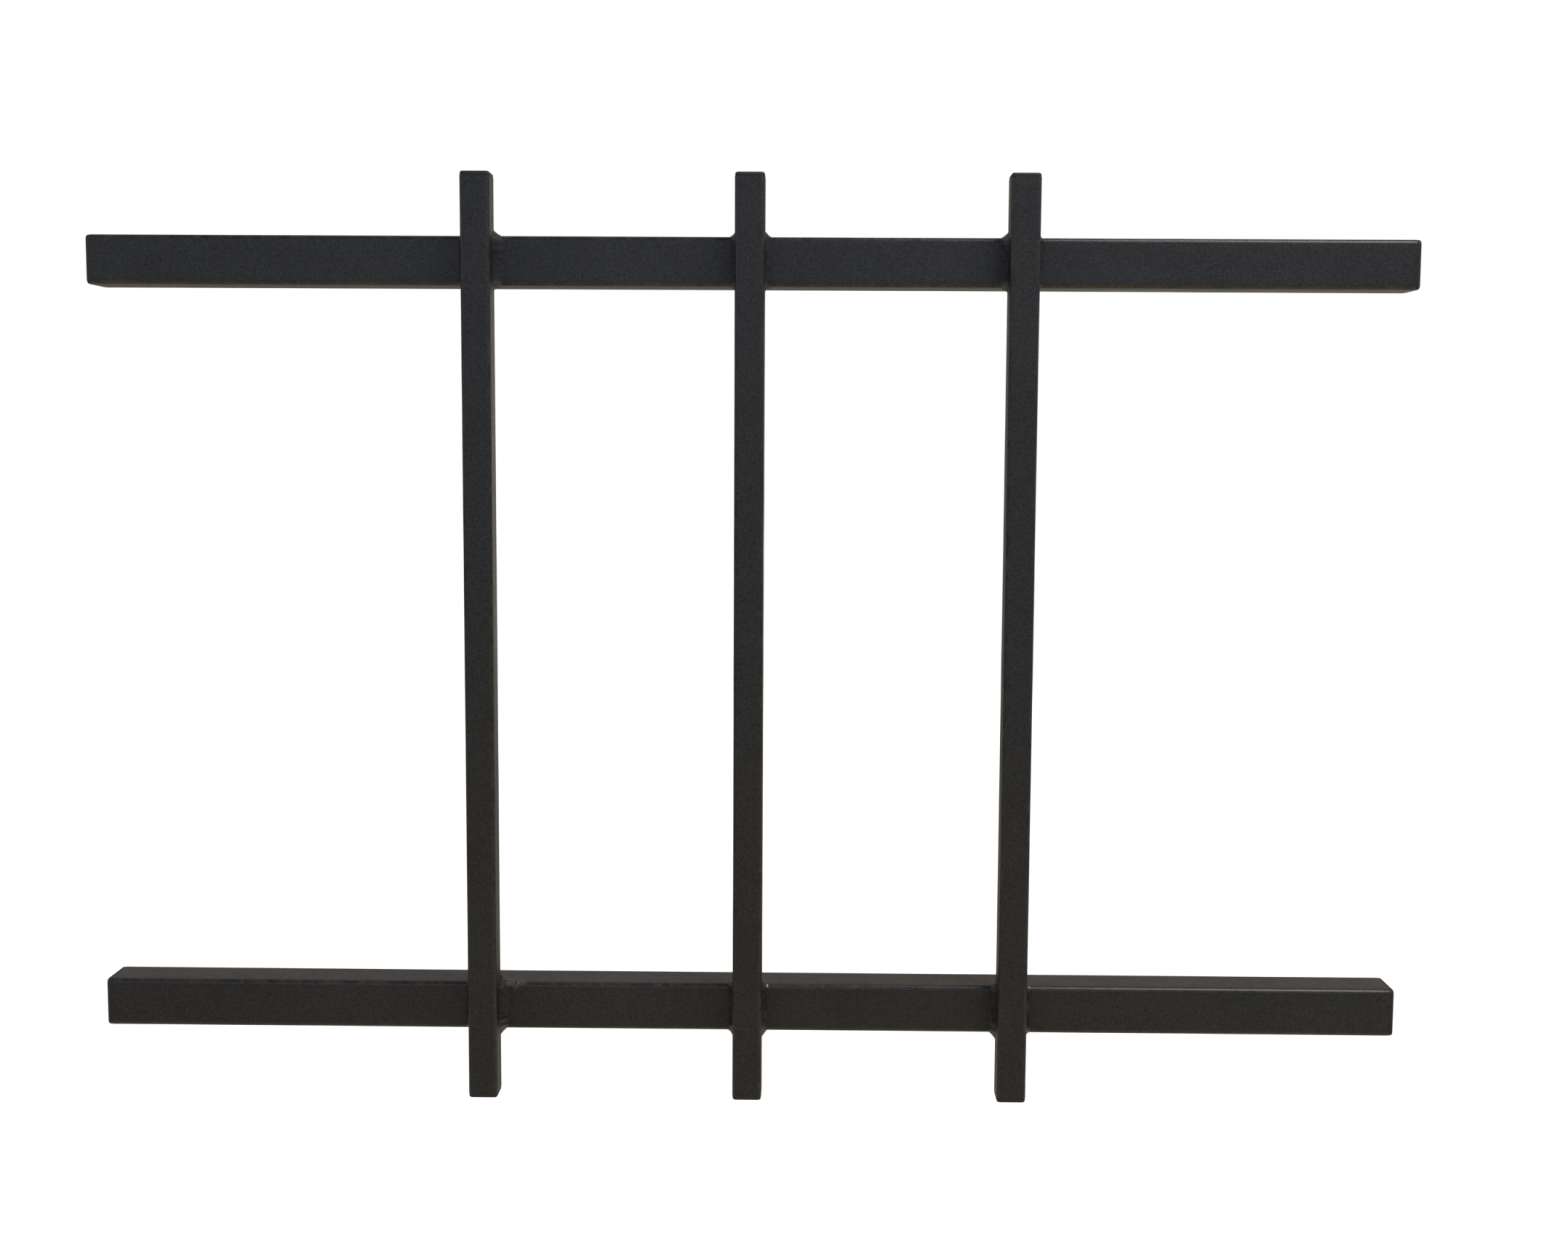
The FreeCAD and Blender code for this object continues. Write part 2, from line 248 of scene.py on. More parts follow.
def tube_rows(length, half, corner, wall, steps):
    """The rows of a tube: half width, corner radius and height of each rounded square.

    The rows climb the outside, round the cut edge, cross the wall, and come back down
    the inside to where they began, so the grid closes into a ring.
    """
    bend = np.linspace(0, math.pi / 2, 5)
    end = length / 2
    outside = np.linspace(-end + CUT_ROUND, end - CUT_ROUND, steps)
    inside = outside[::-1]
    inner = half - wall
    inner_corner = max(corner - wall, SHARPEST)
    over = CUT_ROUND * (1 - np.cos(bend[1:]))
    rise = CUT_ROUND * np.sin(bend[1:])
    half_rows = np.concatenate([
        np.full(steps, half), half - over, [inner + CUT_ROUND], np.full(steps, inner),
        [inner + CUT_ROUND], (half - over)[::-1]])
    corner_rows = np.concatenate([
        np.full(steps, corner), corner - over, [inner_corner + CUT_ROUND],
        np.full(steps, inner_corner), [inner_corner + CUT_ROUND], (corner - over)[::-1]])
    height_rows = np.concatenate([
        outside, end - CUT_ROUND + rise, [end], inside, [-end],
        (-end + CUT_ROUND - rise)[::-1]])
    return half_rows, corner_rows, height_rows


def stand_along(points, axis, middle):
    """Lay a piece that was made along z along a row axis instead, about its middle."""
    x, y, z = points[..., 0], points[..., 1], points[..., 2]
    turned = {"z": (x, y, z), "x": (z, y, -x)}[axis]
    return np.stack(turned, axis=-1) + middle


def tube(node, axis, half, corner, wall, steps):
    """A square tube that stands for a CAD tube, its four sides slightly sunk in places.

    Each side is drawn towards the middle by its own smooth random share, up to SINK,
    and by nothing at the ends, so the tube never grows past its box.
    """
    low, high = corners(node)
    middle = (low + high) / 2
    length = (high - low)[{"x": 0, "z": 2}[axis]]
    points, edge = stack(*tube_rows(length, half, corner, wall, steps))
    along = points[:, 0, 2] / length + 0.5
    held = np.sin(math.pi * np.clip(along, 0, 1)) ** 0.5
    for across in (0, 1):
        for side in (-1, 1):
            sunk = (SINK + wander(along, SINK_WAVES, SINK, RANDOM)) / 2 / half * held
            on_side = points[:, :, across] * side > 0
            points[:, :, across] *= np.where(on_side, 1 - sunk[:, None], 1)
    piece = grid_mesh(f"{node}_coated", stand_along(points, axis, middle), ring=True,
                      shades={"edge": edge})
    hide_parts(node)
    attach(piece, "root")
    return piece


# %% The rails and the bars
rails = [tube(f"{level}_rail", "x", RAIL / 2, RAIL_CORNER, RAIL_WALL, RAIL_ROWS)
         for level in LEVELS]
bars = [tube(f"{side}_bar", "z", BAR / 2, BAR_CORNER, BAR_WALL, BAR_ROWS)
        for side in SIDES]
for piece in rails + bars:
    print(piece.name, len(piece.data.polygons), "faces,",
          round(signed_volume(piece) * 1e6, 1), "cm3")

# %% [markdown]
# ## The end caps
#
# A cap is moulded in one shot: a flange with a soft rim that hides the cut end, and a
# hollow plug with two thin ribs that grip the wall. Its face isn't dead flat, because
# plastic shrinks as it cools, so it dishes by a tenth of a millimetre.

# %% A cap
FLANGE = 2.0 * MM
RIM = 1.1 * MM
CAP_INSET = 0.15 * MM
MOULD_EDGE = 0.1 * MM
PLUG_CORNER = 0.4 * MM
PLUG_GAP = 0.6 * MM
PLUG_WALL = 1.2 * MM
RIB_GAP = 0.05 * MM
RIB = 1.0 * MM
RIB_STEP = 3.0 * MM
DISH = 0.12 * MM
RIM_ROWS = slice(7, 12)  # the rows of a cap that turn over its rim, where it gets rubbed


def cap_rows(half, corner, bore, depth):
    """The rows of a cap, from the middle of its face to the bottom of its hollow plug.

    half and corner are the flange's, bore is half the tube's inner width, and depth is
    the plug's length. z is 0 at the tube's cut end and grows out of the tube. The face is
    lower than the rim's top by DISH * (1 - s^2), with s from 0 in the middle to 1 where
    the rim begins, and the rim is a quarter circle of radius RIM.
    """
    bend = np.linspace(0, math.pi / 2, 7)
    face = np.linspace(0.02, 1, 6)
    flat = half - RIM
    plug, rib, hollow = bore - PLUG_GAP, bore - RIB_GAP, bore - PLUG_GAP - PLUG_WALL
    rows = [(flat * share, corner * share * 0.5, FLANGE - DISH * (1 - share ** 2))
            for share in face]
    rows += [(flat + RIM * math.sin(turn), max(corner - RIM * (1 - math.sin(turn)), PLUG_CORNER),
              FLANGE - RIM * (1 - math.cos(turn))) for turn in bend[1:]]
    rows += [(half, corner, MOULD_EDGE), (half - MOULD_EDGE, corner, 0.0),
             (plug, PLUG_CORNER, 0.0)]
    for number in (1, 2):
        top = -number * RIB_STEP
        rows += [(plug, PLUG_CORNER, top), (rib, PLUG_CORNER, top - MOULD_EDGE),
                 (rib, PLUG_CORNER, top - RIB + MOULD_EDGE), (plug, PLUG_CORNER, top - RIB)]
    rows += [(plug, PLUG_CORNER, -depth), (hollow, PLUG_CORNER / 2, -depth),
             (hollow, PLUG_CORNER / 2, 0.0), (hollow * 0.05, PLUG_CORNER * 0.02, 0.0)]
    return np.array(rows).T


def cap(node, axis, outward, half, corner, wall):
    """A cap that stands for a CAD cap, facing outward (+1 or -1) along its axis."""
    low, high = corners(node)
    middle = (low + high) / 2
    place = {"x": 0, "z": 2}[axis]
    depth = (high - low)[place] - FLANGE
    middle[place] = (high if outward > 0 else low)[place] - outward * FLANGE
    points, swing = stack(*cap_rows(half, corner, half + CAP_INSET - wall, depth), 4, 7)
    edge = np.zeros_like(swing)
    edge[RIM_ROWS] = 0.5 + 0.5 * swing[RIM_ROWS]
    if outward < 0:
        points = points * np.array([1, -1, -1])
    piece = grid_mesh(f"{node}_moulded", stand_along(points, axis, middle),
                      shades={"edge": edge})
    if signed_volume(piece) < 0:
        piece.data.flip_normals()
    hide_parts(node)
    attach(piece, "root")
    return piece


# %% All ten caps
caps = []
for level in LEVELS:
    for end, outward in (("left", -1), ("right", 1)):
        node = f"{level}_rail_{end}_cap"
        half = (corners(node)[1] - corners(node)[0])[2] / 2
        caps.append(cap(node, "x", outward, half, RAIL_CORNER - CAP_INSET, RAIL_WALL))
for side in SIDES:
    for end, outward in (("bottom", -1), ("top", 1)):
        node = f"{side}_bar_{end}_cap"
        half = (corners(node)[1] - corners(node)[0])[0] / 2
        caps.append(cap(node, "z", outward, half, BAR_CORNER - CAP_INSET, BAR_WALL))
print(len(caps), "caps, first holds", round(signed_volume(caps[0]) * 1e9), "mm3")

# %% [markdown]
# ## The welds
#
# A fillet weld is a wedge of metal in the corner between two faces. The welder lays it
# in small overlapping pools, so its face carries ripples, bowed like fish scales along
# the way the torch went. At its ends the pool runs over the rail's round edge and
# clings to the bar's side in a small hollow curve, which softens every inside corner
# of the grille. A pipe with a bevel could stand in for it, but the ripples and the
# hollow ends are what the eye reads as a weld, so each bead is a surface of its own:
# one way along the bar, the other way across the bead's face.

# %% A fillet weld bead
BEAD_ROWS = 150
FACE_POINTS = 15
SUNK = 1.0 * MM
FEATHER = 0.2 * MM  # how far a bead's edges dive under the coat beside them
RUNOUT = 2.9 * MM
LONG_RUNOUT = 7.0 * MM
RIPPLE_STEP = 1.7 * MM
RIPPLE_BOW = 1.1 * MM
RUNOUT_POWER = 1.9
HOLLOW = 0.45  # 0 is a flat face from toe to toe, and 1 a quarter of a circle
BAR_SHARE = 1.5
UNEVEN = 0.14
SWELL = 0.04
RIPPLE_FADE = 3.0 * MM
RIPPLE_WANDER = 0.4
SLIDE = 1.2 * BAR_CORNER


def smooth_step(value):
    """0 below 0, 1 above 1, and an S curve of 3v^2 - 2v^3 between them."""
    value = np.clip(value, 0, 1)
    return value * value * (3 - 2 * value)


def bead_legs(height, leg, crossing_half, runout):
    """How far a bead reaches along the rail and along the bar, at heights z.

    Over the rail's flat face they are the leg and BAR_SHARE legs. Over its round edge the
    reach along the rail changes to RUNOUT. Past the edge it shrinks in a hollow curve,
    like the inside of a fillet: RUNOUT * (1 - d)^RUNOUT_POWER, with d from 0 to 1 over
    the length of runout. The reach along the bar loses 0.35 of itself over the round
    edge, and 0.9 of the rest along the runout.
    """
    flat = crossing_half - RAIL_CORNER
    over = smooth_step((np.abs(height) - flat) / RAIL_CORNER)
    past = np.clip((np.abs(height) - crossing_half) / runout, 0, 1)
    along_rail = np.where(past > 0, RUNOUT * (1 - past) ** RUNOUT_POWER,
                          leg - (leg - RUNOUT) * over)
    along_bar = BAR_SHARE * leg * (1 - 0.35 * over) * (1 - 0.9 * past)
    return along_rail, along_bar


def rail_setback(height, crossing_half):
    """How far the rail's surface has turned back from its face, at heights z.

    With r the corner's radius and d the distance past the flat, it is r - sqrt(r^2 - d^2).
    """
    into = np.clip(np.abs(height) - (crossing_half - RAIL_CORNER), 0, RAIL_CORNER)
    return RAIL_CORNER - np.sqrt(RAIL_CORNER ** 2 - into ** 2)


# %% [markdown]
# Ripples are what tells a weld from a smear of filler. Each is the edge of one pool, so
# they come at an even step up the bead, bend back in the middle, and fade where the bead
# thins out. They are lifts of the face, so that they catch the light as real ones do.

# %% Swell and ripples
def ripple_lift(height, swell, ripple_height, fade):
    """How far a bead's face is lifted, with rows up the bead and columns across it.

    bow is 4a(1 - a) across the face, 0 at both toes. The lift is bow^1.5 times the sum
    of the swell and the ripples. A ripple is ripple_height times |sin(pi p)|^0.8, where
    p rises by 1 in each RIPPLE_STEP, is bent by RIPPLE_BOW times bow, and wanders.
    """
    across = np.linspace(0, 1, FACE_POINTS)
    bow = 4 * across * (1 - across)
    phase = (height[:, None] + RIPPLE_BOW * bow[None, :]) / RIPPLE_STEP
    phase = phase + wander(np.linspace(0, 1, len(height)), 6, RIPPLE_WANDER, RANDOM)[:, None]
    scale = ripple_height * np.abs(np.sin(math.pi * phase)) ** 0.8
    return swell[:, None] * bow ** 1.5 + scale * bow ** 1.5 * fade[:, None]


# %% One bead
def weld_bead(node, side_x, hand, centre_z, leg, ripple_height, upper_runout):
    """One rippled bead that stands for a CAD weld.

    side_x is the plane of the bar's side, hand is +1 where the bead lies to the right
    of it and -1 to the left, leg is the size that the welder made it, and upper_runout
    is how far it climbs the bar above the rail. Across the face, a goes from 0 at the
    toe on the rail to 1 at the toe on the bar. The face is HOLLOW parts of a quarter
    circle and 1 - HOLLOW parts of a straight line from toe to toe, lifted as much
    outwards as forwards. Each toe dives by FEATHER under the coat, by the cube of a or
    of 1 - a. Past the rail's edges the bead slides forward, off the bar's round back
    edge and onto its side.
    """
    half = RAIL / 2
    height = np.linspace(-(half + RUNOUT) * 0.999, (half + upper_runout) * 0.999, BEAD_ROWS)
    runout = np.where(height > 0, upper_runout, RUNOUT)
    past = np.clip((np.abs(height) - half) / runout, 0, 1)
    setback = rail_setback(height, half) * (1 - past) ** 2
    uneven = 1 + wander(np.linspace(0, 1, BEAD_ROWS), 8, UNEVEN, RANDOM)
    along_rail, along_bar = (reach * uneven for reach in bead_legs(height, leg, half, runout))

    # The face, from toe to toe.
    swell = SWELL * np.sqrt(along_rail * along_bar)
    fade = np.clip((half + runout - np.abs(height)) / RIPPLE_FADE, 0, 1)
    lift = ripple_lift(height, swell, ripple_height, fade) * math.sqrt(0.5)
    across = np.linspace(0, 1, FACE_POINTS)
    turn = across * math.pi / 2
    near = HOLLOW * (1 - np.sin(turn)) + (1 - HOLLOW) * (1 - across)
    high = HOLLOW * (1 - np.cos(turn)) + (1 - HOLLOW) * across
    dive = FEATHER * across ** 3 + 1.5 * FEATHER * past[:, None] ** 4
    out = along_rail[:, None] * near + lift - dive
    front = -(along_bar[:, None] * high) - lift + FEATHER * (1 - across) ** 3
    front = front + setback[:, None] * (1 - across) ** 2

    # The back, out of sight inside the two tubes: three columns that close the ring.
    inside = np.full(BEAD_ROWS, -SUNK)
    back = setback + FEATHER + SUNK * (1 - past)
    back_out = np.stack([inside, inside, along_rail * 0.9 - 1.5 * FEATHER * past], axis=1)
    back_front = np.stack([-along_bar, back, back], axis=1)
    slide = SLIDE * smooth_step(past)[:, None]
    x = side_x + hand * np.concatenate([out, back_out], axis=1)
    y = RAIL_FACE_Y + np.concatenate([front, back_front], axis=1) - slide
    z = np.broadcast_to((centre_z + height)[:, None], x.shape)
    # The crest is highest mid-face, where the weld coat is painted paler: painted light against
    # the corner's shade.
    crest = np.zeros(x.shape)
    crest[:, :FACE_POINTS] = 4 * across * (1 - across)
    piece = grid_mesh(f"{node}_bead", np.stack([x, y, z], axis=-1), shades={"edge": crest})
    if signed_volume(piece) < 0:
        piece.data.flip_normals()
    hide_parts(node)
    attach(piece, "root")
    return piece


# %% [markdown]
# No two beads come out alike. The welder had the torch on the left bar's right side the
# longest, so the bead there is the widest at the top rail, where its ripples stand
# highest, and climbs the furthest up the bar at the bottom rail. The rest are smaller, the
# middle bar's most of all, and the coat has filled most of their ripples.

# %% All twelve beads
WIDEST = ("left", "top", "right")
CLIMBS = ("left", "bottom", "right")
WIDE_LEG = 4.6 * MM
WIDE_RIPPLES = 0.06 * MM
LEG_RANGE = {"left": (3.4, 4.2), "middle": (2.2, 2.9), "right": (3.4, 4.2)}  # mm
RIPPLE_RANGE = (0.02 * MM, 0.04 * MM)
beads = []
for side in SIDES:
    low, high = corners(f"{side}_bar")
    for level in LEVELS:
        rail_box = corners(f"{level}_rail")
        centre_z = (rail_box[0][2] + rail_box[1][2]) / 2
        for end, hand, side_x in (("left", -1, low[0]), ("right", 1, high[0])):
            leg = RANDOM.uniform(*LEG_RANGE[side]) * MM
            ripples = RANDOM.uniform(*RIPPLE_RANGE)
            if (side, level, end) == WIDEST:
                leg, ripples = WIDE_LEG, WIDE_RIPPLES
            climb = LONG_RUNOUT if (side, level, end) == CLIMBS else RUNOUT
            beads.append(weld_bead(f"{side}_bar_{level}_weld_{end}", side_x, hand,
                                   centre_z, leg, ripples, climb))
print(len(beads), "beads, the widest", round(WIDE_LEG / MM, 1), "mm")

# %% [markdown]
# ## A lump and some spatter
#
# Where the torch was started at the foot of the left bar, three small puddles of metal
# ran together and froze on the bottom rail's upper front edge. Each has a ring or two in
# it, like a drop of candle wax. Fine drops of metal also land near a weld and stick. They
# were coated over, so they are black too. The lump is a sheet wrapped round the rail's
# edge: it lies just under the coat, and the puddles push it up through.

# %% The lump on the rail's edge
LUMP_LENGTH = 16.0 * MM
LUMP_WIDTH = 12.0 * MM
LUMP_GRID = (110, 55)
LUMP_DEEP = 0.25 * MM
LUMP_BACK = 0.4 * MM
LUMP_START = -1.0 * MM
LUMP_SWAY = 0.12
LUMP_SWAY_LENGTH = 7 * MM
# Each puddle: its middle along the rail, half length, half width, height and lean, in mm.
PUDDLES = [(2.8, 4.4, 4.6, 0.60, 0.2), (7.0, 4.8, 5.4, 0.72, 0.5), (11.6, 4.2, 3.8, 0.52, 0.6)]


def over_the_edge(distance, corner):
    """Points and outward directions on a rail's upper front edge, in the y-z plane.

    distance runs round the surface from the middle of the edge: negative down the
    front face, positive back over the top. Within an eighth turn either way the point
    lies on the corner's circle, and past that on the flats. The edge's own corner, where
    the two flats would meet, is at (0, 0).
    """
    eighth = math.pi / 4
    turn = np.clip(distance / corner, -eighth, eighth)
    beyond = distance - turn * corner
    angle = turn + eighth
    out = np.stack([-np.cos(angle), np.sin(angle)], axis=-1)
    centre = np.array([corner, -corner])
    run = np.stack([np.sin(angle), np.cos(angle)], axis=-1)
    return centre + out * corner + run * beyond[..., None], out


def lump():
    """The frozen lump on the bottom rail beside the left bar's right side.

    A puddle is a bump over an ellipse: with r the distance from its middle, 1 at its
    rim, its height is H (1 - r^2)^2, plus H/7 cos(4 pi r) (1 - r) for the rings.
    """
    rail_box, bar_box = corners("bottom_rail"), corners("left_bar")
    along = np.linspace(0, LUMP_LENGTH, LUMP_GRID[0])[:, None]
    across = np.linspace(-0.5, 0.5, LUMP_GRID[1])[None, :] * LUMP_WIDTH
    sway = np.sin(2 * math.pi * along / LUMP_SWAY_LENGTH)
    height = np.zeros(LUMP_GRID)
    for middle, length, width, high, lean in np.array(PUDDLES) * MM:
        bent = across - lean + LUMP_SWAY * width * sway
        r = np.clip(np.hypot((along - middle) / length, bent / width), 0, 1)
        rings = np.cos(4 * math.pi * r) * (1 - r) / 7
        height = height + high * ((1 - r ** 2) ** 2 + rings)
    place, out = over_the_edge(np.broadcast_to(across, height.shape), RAIL_CORNER)
    top = place + out * (height - LUMP_DEEP)[..., None]
    bottom = (place - out * LUMP_BACK)[:, ::-1]
    ring = np.concatenate([top, bottom], axis=1)
    # The lump's edge shade is its height, so its coat goes paler towards the crest: partly
    # rubbed coat, partly a painted highlight.
    edge = np.concatenate([height / height.max(), np.zeros_like(height)], axis=1)
    y = rail_box[0][1] + ring[..., 0]
    z = rail_box[1][2] + ring[..., 1]
    x = np.broadcast_to(bar_box[1][0] + along + LUMP_START, y.shape)
    piece = grid_mesh("weld_lump", np.stack([x, y, z], axis=-1), shades={"edge": edge})
    if signed_volume(piece) < 0:
        piece.data.flip_normals()
    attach(piece, "root")
    return piece


weld_lump = lump()
print("lump", round(signed_volume(weld_lump) * 1e9, 1), "mm3")

# %% [markdown]
# The drops are one small dome, repeated. All of them are worked out in one array: a
# unit dome, times each drop's radius, plus each drop's place.

# %% The spatter
DROP_ROWS, DROP_COLUMNS = 5, 9


def spatter(name, places, outward, radii):
    """Many small closed domes as one piece, each sitting on a surface.

    places are the points on the surface, outward the direction that it faces at each,
    and radii the drops' sizes. A drop is a sphere squashed to 0.75 of its height and
    sunk by a third of its radius.
    """
    polar = np.linspace(0.06, math.pi - 0.06, DROP_ROWS)
    round_way = np.linspace(0, 2 * math.pi, DROP_COLUMNS, endpoint=False)
    ring = np.stack([np.outer(np.sin(polar), np.cos(round_way)),
                     np.outer(np.sin(polar), np.sin(round_way)),
                     np.outer(-np.cos(polar), np.ones(DROP_COLUMNS))], axis=-1)
    outward = outward / np.linalg.norm(outward, axis=1, keepdims=True)
    sideways = np.tile([1.0, 0.0, 0.0], (len(places), 1))
    third = np.cross(outward, sideways)
    axes = np.stack([sideways, third, outward * 0.75], axis=1)
    drops = np.einsum("rcj,njk->nrck", ring, axes) * radii[:, None, None, None]
    drops = drops + (places - outward * radii[:, None] / 3)[:, None, None, :]
    made = [grid_mesh(f"{name}_{number}", drop) for number, drop in enumerate(drops)]
    if signed_volume(made[0]) < 0:
        for drop in made:
            drop.data.flip_normals()
    with bpy.context.temp_override(active_object=made[0], selected_editable_objects=made):
        bpy.ops.object.join()
    made[0].name = name
    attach(made[0], "root")
    return made[0]


SPATTER_EACH = 2
SPATTER_REACH = (5.5, 17)  # mm from the bar's side
SPATTER_RADIUS = (0.16, 0.30)  # mm
places, sizes = [], []
for side in SIDES:
    bar_box = corners(f"{side}_bar")
    for level in LEVELS:
        rail_box = corners(f"{level}_rail")
        for _ in range(SPATTER_EACH):
            hand = RANDOM.choice([-1, 1])
            from_side = RANDOM.uniform(*SPATTER_REACH) * MM
            x = (bar_box[1][0] if hand > 0 else bar_box[0][0]) + hand * from_side
            z = RANDOM.uniform(rail_box[0][2] + RAIL_CORNER, rail_box[1][2] - RAIL_CORNER)
            places.append((x, RAIL_FACE_Y, z))
            sizes.append(RANDOM.uniform(*SPATTER_RADIUS) * MM)
places = np.array(places)
faces_front = np.tile([0.0, -1.0, 0.0], (len(places), 1))
weld_spatter = spatter("weld_spatter", places, faces_front, np.array(sizes))
print(len(places), "drops of spatter")

# %% [markdown]
# Two larger drops froze at the upper ends of the beads on the bottom rail, to the right
# of the middle and right bars. They stand proud, so the coat has been knocked off them,
# and the bare steel catches the lamp.

# %% Two bright drops
GLINT_RADIUS = 1.1 * MM
GLINT_ASIDE, GLINT_BEHIND, GLINT_BELOW = 2.4 * MM, 0.5 * MM, 0.7 * MM
glint_places = np.array([
    (corners(f"{side}_bar")[1][0] + GLINT_ASIDE, RAIL_FACE_Y + GLINT_BEHIND,
     corners("bottom_rail")[1][2] - GLINT_BELOW) for side in ("middle", "right")])
bright_drops = spatter("weld_end_drops", glint_places, np.tile([0.0, -0.7, 0.7], (2, 1)),
                       np.full(2, GLINT_RADIUS))
print(len(glint_places), "bright drops,", round(2 * GLINT_RADIUS / MM, 1), "mm across")

# %% [markdown]
# ## Colours and a way to write materials
#
# Paint makers and cameras give colours as sRGB hex numbers, but the renderer adds light
# up in linear numbers, so one function converts. Another adds a node to a material
# with its settings and links in one line: a value that is itself a socket is linked,
# and anything else is set on the input.

# %% Helpers for materials
def linear(hex_colour):
    """An sRGB hex colour as linear RGB with alpha 1."""
    channels = [int(hex_colour[place:place + 2], 16) / 255 for place in (1, 3, 5)]
    return tuple(c / 12.92 if c <= 0.04045 else ((c + 0.055) / 1.055) ** 2.4
                 for c in channels) + (1.0,)


def add(tree, kind, inputs=None, **settings):
    """Add a node. settings are its own options, and inputs maps an input to its value."""
    node = tree.nodes.new(kind)
    for option, value in settings.items():
        setattr(node, option, value)
    for name, value in (inputs or {}).items():
        if isinstance(value, bpy.types.NodeSocket):
            tree.links.new(value, node.inputs[name])
        else:
            node.inputs[name].default_value = value
    return node


def blank_material(name):
    """A material with nothing in it but its output."""
    material = bpy.data.materials.new(name)
    material.use_nodes = True
    material.node_tree.nodes.clear()
    output = material.node_tree.nodes.new("ShaderNodeOutputMaterial")
    return material, material.node_tree, output


# %% [markdown]
# ## Fine-texture black powder coat
#
# Polyester powder is sprayed on dry and baked. A fine-texture grade sets with a sandy
# grain of a few tenths of a millimetre, over a slow swell like orange peel, and comes
# out satin. The grain breaks the gloss into a soft sheen, the swell makes that sheen
# patchy, and the coat runs thinner over edges, where it looks a little smoother. Edges
# and crests are also painted paler: partly rubbed coat, partly a painted highlight.
# Faces that look up are mixed towards a pale warm grey: partly a dusty film, partly a
# painted sheen that lightens the tops.
#
# The real grain is about 0.25 mm, too fine to show when the whole grille is in view, so
# it is drawn at twice that. Its hollows see less of the room, so they mirror less of it:
# the grain drives the shader's specular level as well as its colour. Noise texture
# scales count features per metre here, because the object's coordinates are in metres.

# %% Powder coat
GRAIN = 0.55 * MM
PEEL = 3.5 * MM
MOTTLE = 45 * MM
SCUFF = 9 * MM
DUST_AND_SHEEN = "#8d857a"


